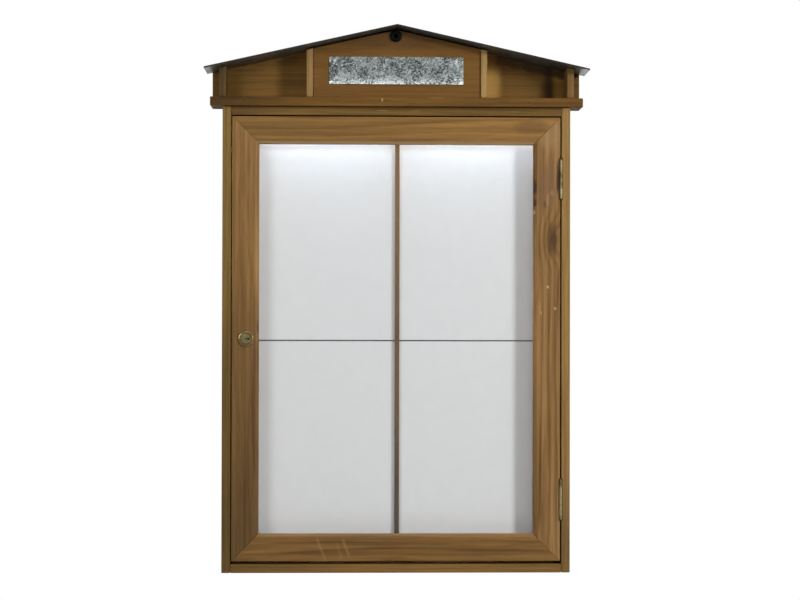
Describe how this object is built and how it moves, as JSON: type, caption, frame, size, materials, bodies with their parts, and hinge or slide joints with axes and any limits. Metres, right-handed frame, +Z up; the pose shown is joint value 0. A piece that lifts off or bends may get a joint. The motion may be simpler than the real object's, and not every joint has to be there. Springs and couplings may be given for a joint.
{
  "type": "information display case",
  "caption": "Wall-hung wooden display case with a glazed locking door, lit A4 sheets inside, a gable with a bare plate and a folded metal roof.",
  "frame": {"origin": "middle of the back face of the case, on the wall", "axes": "+Z up, +Y into the wall, the front faces -Y, +X to the right of someone who faces the display"},
  "size_m": [0.577, 0.068, 0.8222],
  "materials": {
    "case_wood": "stained, matt",
    "door_wood": "stained, matt",
    "gable_wood": "stained, matt",
    "plywood": "stained plywood",
    "grey_board": "matt",
    "white_sheet": "matt white",
    "clear_pane": "clear",
    "brass": "polished, a little worn",
    "steel": "zinc plated",
    "galvanised": "galvanised, spangled",
    "roof_metal": "weathered sheet",
    "aluminium": "satin",
    "diffuser": "white, lit",
    "black_rubber": "matt",
    "black_plastic": "matt"
  },
  "bodies": {
    "case": {"case_left_side": "case_wood", "case_right_side": "case_wood", "case_top_board": "case_wood", "case_bottom_board": "case_wood", "back_panel": "plywood", "left_hanger_plate": "steel", "right_hanger_plate": "steel", "display_board": "grey_board", "upper_left_sheet": "white_sheet", "upper_right_sheet": "white_sheet", "lower_left_sheet": "white_sheet", "lower_right_sheet": "white_sheet", "centre_divider": "case_wood", "left_sheet_batten": "case_wood", "right_sheet_batten": "case_wood", "light_channel": "aluminium", "light_strip": "white_sheet", "light_diffuser": "diffuser", "light_driver": "black_plastic", "light_lead": "black_plastic", "cornice_board": "gable_wood", "pediment_back": "plywood", "pediment_left_end": "gable_wood", "pediment_right_end": "gable_wood", "left_fin": "gable_wood", "right_fin": "gable_wood", "sign_panel": "gable_wood", "sign_plate": "galvanised", "lower_left_plate_pin": "steel", "lower_right_plate_pin": "steel", "upper_left_plate_pin": "steel", "upper_right_plate_pin": "steel", "apex_grommet": "black_rubber", "roof_sheet": "roof_metal", "upper_hinge_case_leaf": "brass", "lower_hinge_case_leaf": "brass", "upper_hinge_pin": "brass", "lower_hinge_pin": "brass", "lock_keeper": "steel", "lower_keeper_screw": "steel", "upper_keeper_screw": "steel"},
    "door": {"door_left_stile": "door_wood", "door_right_stile": "door_wood", "door_top_rail": "door_wood", "door_bottom_rail": "door_wood", "pane": "clear_pane", "glazing_bead_left": "door_wood", "glazing_bead_right": "door_wood", "glazing_bead_top": "door_wood", "glazing_bead_bottom": "door_wood", "upper_hinge_door_leaf": "brass", "lower_hinge_door_leaf": "brass", "lock_body": "brass", "lock_nut": "brass"},
    "lock": {"lock_plug": "brass", "lock_cam": "steel", "cam_screw": "steel"}
  },
  "joints": [
    {"name": "door_swing", "type": "hinge", "parent": "case", "child": "door", "pos_m": [0.248, -0.0448, 0], "axis": [0, 0, 1], "range_deg": [0, 165]},
    {"name": "lock_turn", "type": "hinge", "parent": "door", "child": "lock", "pos_m": [-0.22615, -0.044, 0.0009], "axis": [0, 1, 0], "range_deg": [0, 90]}
  ]
}
